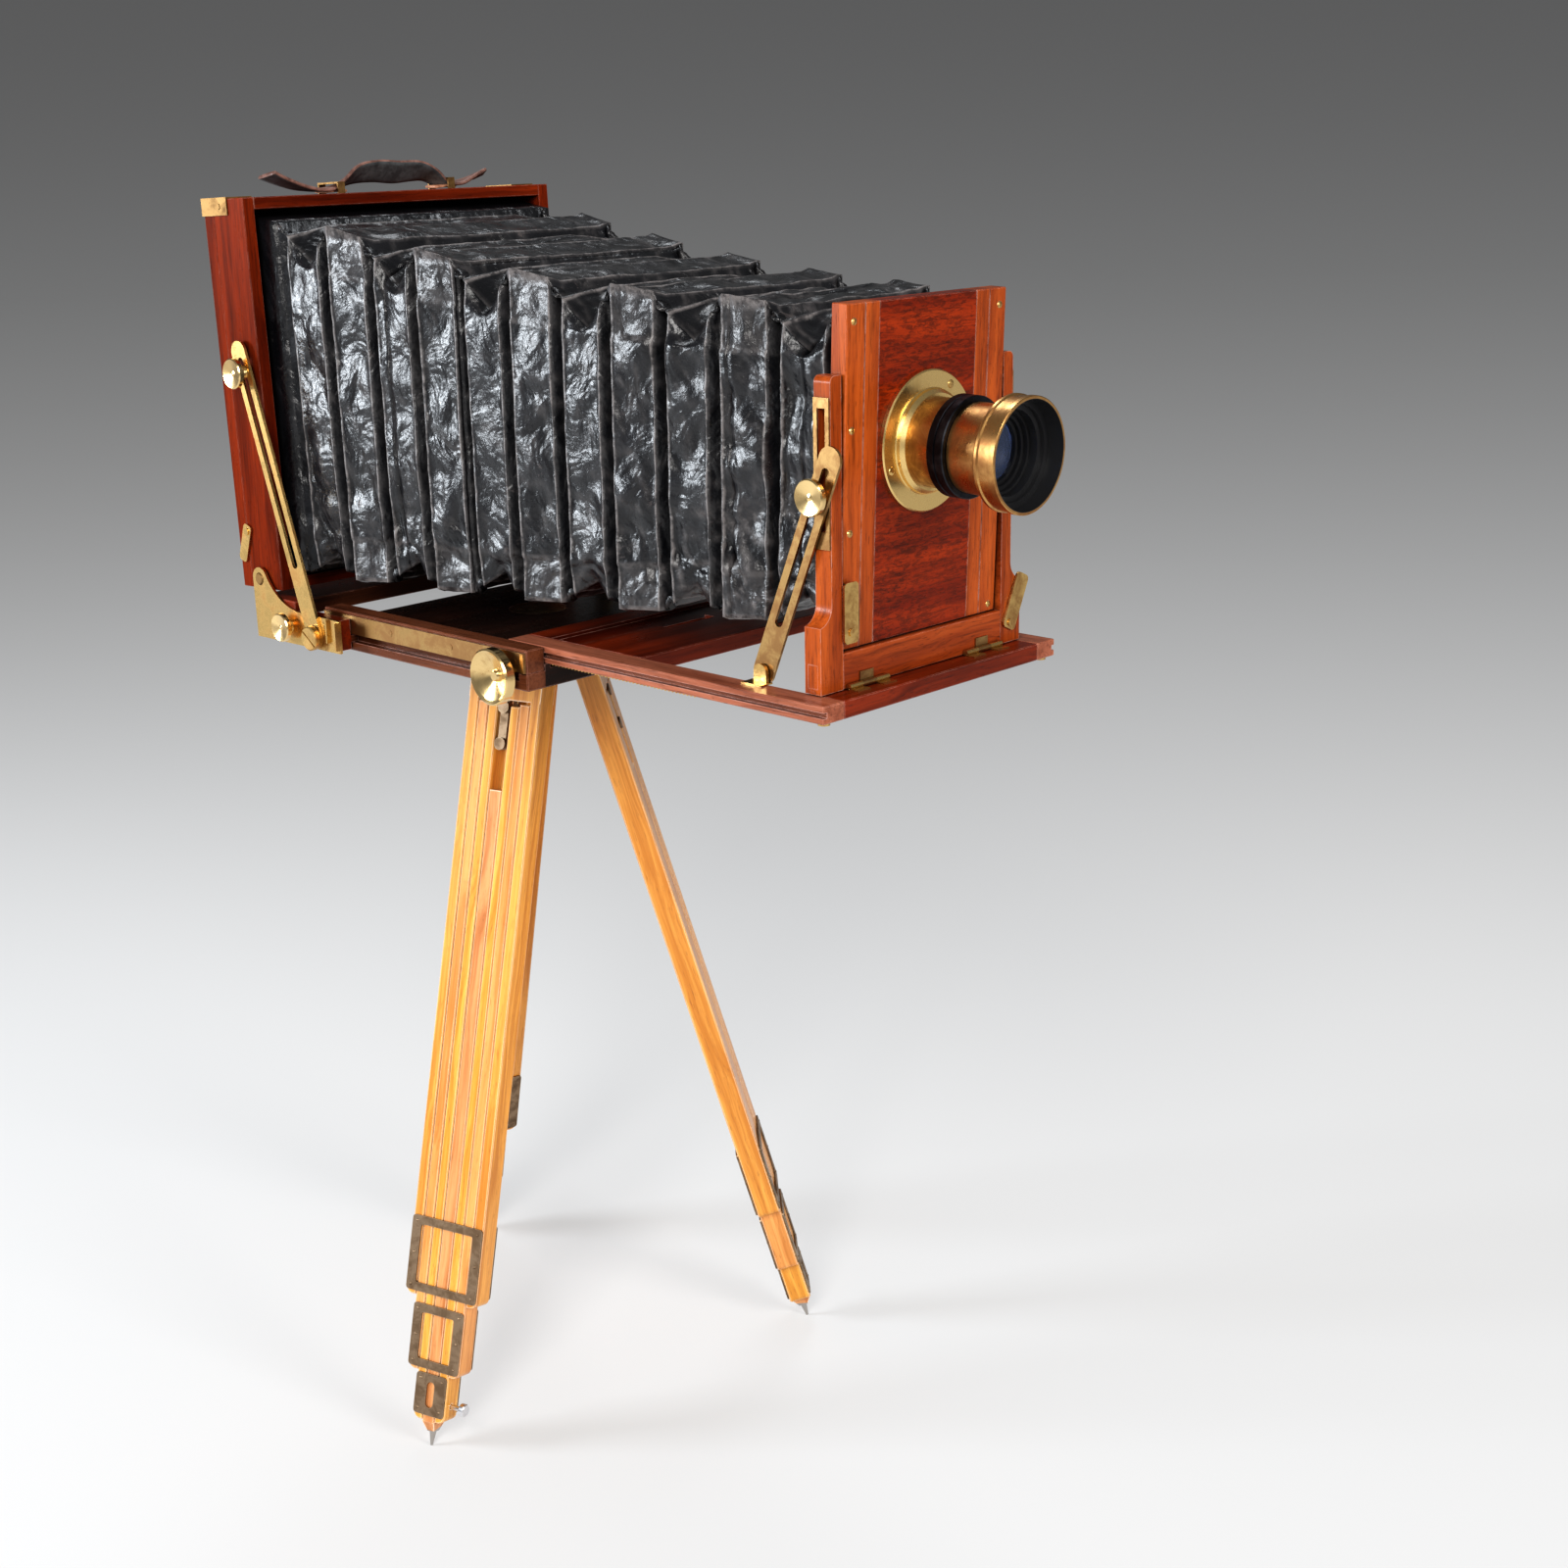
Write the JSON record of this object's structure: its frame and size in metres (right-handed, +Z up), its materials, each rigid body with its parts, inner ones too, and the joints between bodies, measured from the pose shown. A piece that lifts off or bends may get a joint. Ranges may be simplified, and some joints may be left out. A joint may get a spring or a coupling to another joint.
{
  "type": "view camera",
  "caption": "Wooden folding view camera with leather bellows, brass lens, racked track and sliding wooden tripod legs.",
  "frame": {"origin": "on the floor, on the pan axis of the tripod head", "axes": "+Z up, the lens looks along -Y, +X is the camera's left side"},
  "size_m": [0.3361, 0.617, 0.8754],
  "materials": {
    "mahogany": "french polished, worn",
    "ash": "oiled golden ash",
    "brass": "lacquered, aged",
    "black_brass": "matt black",
    "iron": "browned",
    "bronze_head": "blackened",
    "leather_black": "grained, polished",
    "leather_brown": "worn strap",
    "glass": "polished",
    "ground_glass": "finely ground"
  },
  "bodies": {
    "tripod_head": {"tripod_head": "bronze_head"},
    "bed": {"bed_boards": "mahogany", "bed_side_strips": "brass", "turntable_bush": "brass"},
    "leg_a_outer": {"leg_a_outer_section": "ash", "leg_a_outer_irons": "iron"},
    "leg_a_second": {"leg_a_second_section": "ash", "leg_a_second_irons": "iron"},
    "leg_a_third": {"leg_a_third_section": "ash", "leg_a_third_irons": "iron"},
    "leg_a_foot": {"leg_a_foot_section": "ash"},
    "leg_b_outer": {"leg_b_outer_section": "ash", "leg_b_outer_irons": "iron"},
    "leg_b_second": {"leg_b_second_section": "ash", "leg_b_second_irons": "iron"},
    "leg_b_third": {"leg_b_third_section": "ash", "leg_b_third_irons": "iron"},
    "leg_b_foot": {"leg_b_foot_section": "ash"},
    "leg_c_outer": {"leg_c_outer_section": "ash", "leg_c_outer_irons": "iron"},
    "leg_c_second": {"leg_c_second_section": "ash", "leg_c_second_irons": "iron"},
    "leg_c_third": {"leg_c_third_section": "ash", "leg_c_third_irons": "iron"},
    "leg_c_foot": {"leg_c_foot_section": "ash"},
    "track": {"track_frame": "mahogany", "track_fittings": "brass"},
    "focus_spindle": {"focus_spindle": "brass"},
    "front_standard": {"front_standard": "mahogany", "front_fittings": "brass"},
    "lens_panel": {"lens_panel": "mahogany", "panel_screws": "brass", "lens_flange": "brass", "lens_barrel": "brass", "lens_hood": "brass", "lens_elements": "glass"},
    "iris_ring": {"iris_ring": "black_brass"},
    "turn_button_right": {"turn_button_right": "brass"},
    "turn_button_left": {"turn_button_left": "brass"},
    "front_stay_right": {"front_stay_right": "brass"},
    "front_knob_right": {"front_knob_right": "brass"},
    "front_stay_left": {"front_stay_left": "brass"},
    "front_knob_left": {"front_knob_left": "brass"},
    "rear_carriage": {"carriage_boards": "mahogany", "carriage_brackets": "brass"},
    "rear_standard": {"rear_frame": "mahogany", "reversing_back": "mahogany", "rear_fittings": "brass", "handle_strap": "leather_brown", "bellows": "leather_black"},
    "screen": {"screen_frame": "mahogany", "ground_glass": "ground_glass"},
    "rear_stay_right": {"rear_stay_right": "brass"},
    "rear_knob_right": {"rear_knob_right": "brass"},
    "carriage_knob_right": {"carriage_knob_right": "brass"},
    "back_catch_right": {"back_catch_right": "brass"},
    "rear_stay_left": {"rear_stay_left": "brass"},
    "rear_knob_left": {"rear_knob_left": "brass"},
    "carriage_knob_left": {"carriage_knob_left": "brass"},
    "back_catch_left": {"back_catch_left": "brass"}
  },
  "joints": [
    {"name": "pan", "type": "hinge", "parent": "tripod_head", "child": "bed", "pos_m": [0, 0, 0.5573], "axis": [0, 0, 1], "continuous": true},
    {"name": "leg_a_splay", "type": "hinge", "parent": "tripod_head", "child": "leg_a_outer", "pos_m": [-0.03179, -0.00885, 0.536], "axis": [-0.2681, 0.9634, 0], "range_deg": [-15.9, 0]},
    {"name": "leg_a_second_slide", "type": "slide", "parent": "leg_a_outer", "child": "leg_a_second", "axis": [-0.2639, -0.0734, -0.9617], "range_m": [0, 0.3]},
    {"name": "leg_a_third_slide", "type": "slide", "parent": "leg_a_second", "child": "leg_a_third", "axis": [-0.2639, -0.0734, -0.9617], "range_m": [0, 0.3]},
    {"name": "leg_a_foot_slide", "type": "slide", "parent": "leg_a_third", "child": "leg_a_foot", "axis": [-0.2639, -0.0734, -0.9617], "range_m": [0, 0.3]},
    {"name": "leg_b_splay", "type": "hinge", "parent": "tripod_head", "child": "leg_b_outer", "pos_m": [0.02356, -0.02311, 0.536], "axis": [-0.7003, -0.7139, 0], "range_deg": [-15.9, 0]},
    {"name": "leg_b_second_slide", "type": "slide", "parent": "leg_b_outer", "child": "leg_b_second", "axis": [0.1956, -0.1918, -0.9617], "range_m": [0, 0.3]},
    {"name": "leg_b_third_slide", "type": "slide", "parent": "leg_b_second", "child": "leg_b_third", "axis": [0.1956, -0.1918, -0.9617], "range_m": [0, 0.3]},
    {"name": "leg_b_foot_slide", "type": "slide", "parent": "leg_b_third", "child": "leg_b_foot", "axis": [0.1956, -0.1918, -0.9617], "range_m": [0, 0.3]},
    {"name": "leg_c_splay", "type": "hinge", "parent": "tripod_head", "child": "leg_c_outer", "pos_m": [0.00823, 0.03196, 0.536], "axis": [0.9684, -0.2495, 0], "range_deg": [-15.9, 0]},
    {"name": "leg_c_second_slide", "type": "slide", "parent": "leg_c_outer", "child": "leg_c_second", "axis": [0.0684, 0.2653, -0.9617], "range_m": [0, 0.3]},
    {"name": "leg_c_third_slide", "type": "slide", "parent": "leg_c_second", "child": "leg_c_third", "axis": [0.0684, 0.2653, -0.9617], "range_m": [0, 0.3]},
    {"name": "leg_c_foot_slide", "type": "slide", "parent": "leg_c_third", "child": "leg_c_foot", "axis": [0.0684, 0.2653, -0.9617], "range_m": [0, 0.3]},
    {"name": "track_slide", "type": "slide", "parent": "bed", "child": "track", "axis": [0, -1, 0], "range_m": [-0.15, 0], "deforming": ["bellows"]},
    {"name": "focus", "type": "hinge", "parent": "bed", "child": "focus_spindle", "pos_m": [0, -0.11, 0.5667], "axis": [1, 0, 0], "range_deg": [-1440, 10]},
    {"name": "front_tilt", "type": "hinge", "parent": "track", "child": "front_standard", "pos_m": [0, -0.35695, 0.58695], "axis": [1, 0, 0], "range_deg": [0, 15]},
    {"name": "panel_rise", "type": "slide", "parent": "front_standard", "child": "lens_panel", "axis": [0, 0, 1], "range_m": [0, 0.035]},
    {"name": "iris_turn", "type": "hinge", "parent": "lens_panel", "child": "iris_ring", "pos_m": [0, -0.38505, 0.72085], "axis": [0, -0.9994, -0.0349], "range_deg": [-45, 45]},
    {"name": "turn_button_right_swing", "type": "hinge", "parent": "lens_panel", "child": "turn_button_right", "pos_m": [-0.069, -0.3555, 0.619], "axis": [0, 1, 0], "range_deg": [-90, 90]},
    {"name": "turn_button_left_swing", "type": "hinge", "parent": "front_standard", "child": "turn_button_left", "pos_m": [0.0825, -0.3552, 0.5985], "axis": [0, 1, 0], "range_deg": [-85, 15]},
    {"name": "front_stay_right_swing", "type": "hinge", "parent": "track", "child": "front_stay_right", "pos_m": [-0.087, -0.304, 0.5914], "axis": [1, 0, 0], "range_deg": [-1, 15]},
    {"name": "front_knob_right_turn", "type": "hinge", "parent": "front_standard", "child": "front_knob_right", "pos_m": [-0.092, -0.34885, 0.7], "axis": [-1, 0, 0], "range_deg": [-180, 180]},
    {"name": "front_stay_left_swing", "type": "hinge", "parent": "track", "child": "front_stay_left", "pos_m": [0.087, -0.304, 0.5914], "axis": [1, 0, 0], "range_deg": [-1, 15]},
    {"name": "front_knob_left_turn", "type": "hinge", "parent": "front_standard", "child": "front_knob_left", "pos_m": [0.092, -0.34885, 0.7], "axis": [1, 0, 0], "range_deg": [-180, 180]},
    {"name": "carriage_slide", "type": "slide", "parent": "bed", "child": "rear_carriage", "axis": [0, -1, 0], "range_m": [-0.02, 0.014]},
    {"name": "rear_tilt", "type": "hinge", "parent": "rear_carriage", "child": "rear_standard", "pos_m": [0, 0.1365, 0.59991], "axis": [1, 0, 0], "range_deg": [-8, 10]},
    {"name": "screen_swing", "type": "hinge", "parent": "rear_standard", "child": "screen", "pos_m": [0, 0.16427, 0.63087], "axis": [1, 0, 0], "range_deg": [-100, 0]},
    {"name": "rear_stay_right_swing", "type": "hinge", "parent": "rear_carriage", "child": "rear_stay_right", "pos_m": [-0.1407, 0.0725, 0.567], "axis": [1, 0, 0], "range_deg": [-8, 9]},
    {"name": "rear_knob_right_turn", "type": "hinge", "parent": "rear_standard", "child": "rear_knob_right", "pos_m": [-0.146, 0.1326, 0.745], "axis": [-1, 0, 0], "range_deg": [-180, 180]},
    {"name": "carriage_knob_right_turn", "type": "hinge", "parent": "rear_carriage", "child": "carriage_knob_right", "pos_m": [-0.144, 0.104, 0.5705], "axis": [-1, 0, 0], "range_deg": [-180, 180]},
    {"name": "back_catch_right_swing", "type": "hinge", "parent": "rear_standard", "child": "back_catch_right", "pos_m": [-0.1374, 0.15031, 0.63204], "axis": [1, 0, 0], "range_deg": [-100, 70]},
    {"name": "rear_stay_left_swing", "type": "hinge", "parent": "rear_carriage", "child": "rear_stay_left", "pos_m": [0.1407, 0.0725, 0.567], "axis": [1, 0, 0], "range_deg": [-8, 9]},
    {"name": "rear_knob_left_turn", "type": "hinge", "parent": "rear_standard", "child": "rear_knob_left", "pos_m": [0.146, 0.1326, 0.745], "axis": [1, 0, 0], "range_deg": [-180, 180]},
    {"name": "carriage_knob_left_turn", "type": "hinge", "parent": "rear_carriage", "child": "carriage_knob_left", "pos_m": [0.144, 0.104, 0.5705], "axis": [1, 0, 0], "range_deg": [-180, 180]},
    {"name": "back_catch_left_swing", "type": "hinge", "parent": "rear_standard", "child": "back_catch_left", "pos_m": [0.1374, 0.15031, 0.63204], "axis": [1, 0, 0], "range_deg": [-100, 70]}
  ],
  "couplings": [
    {"joint": "focus", "follows": "track_slide", "rad_per_m": 166.67},
    {"joint": "front_stay_right_swing", "follows": "front_tilt", "ratio": 0.8325},
    {"joint": "front_stay_left_swing", "follows": "front_tilt", "ratio": 0.8325},
    {"joint": "rear_stay_right_swing", "follows": "rear_tilt", "ratio": 0.7275},
    {"joint": "rear_stay_left_swing", "follows": "rear_tilt", "ratio": 0.7275}
  ]
}
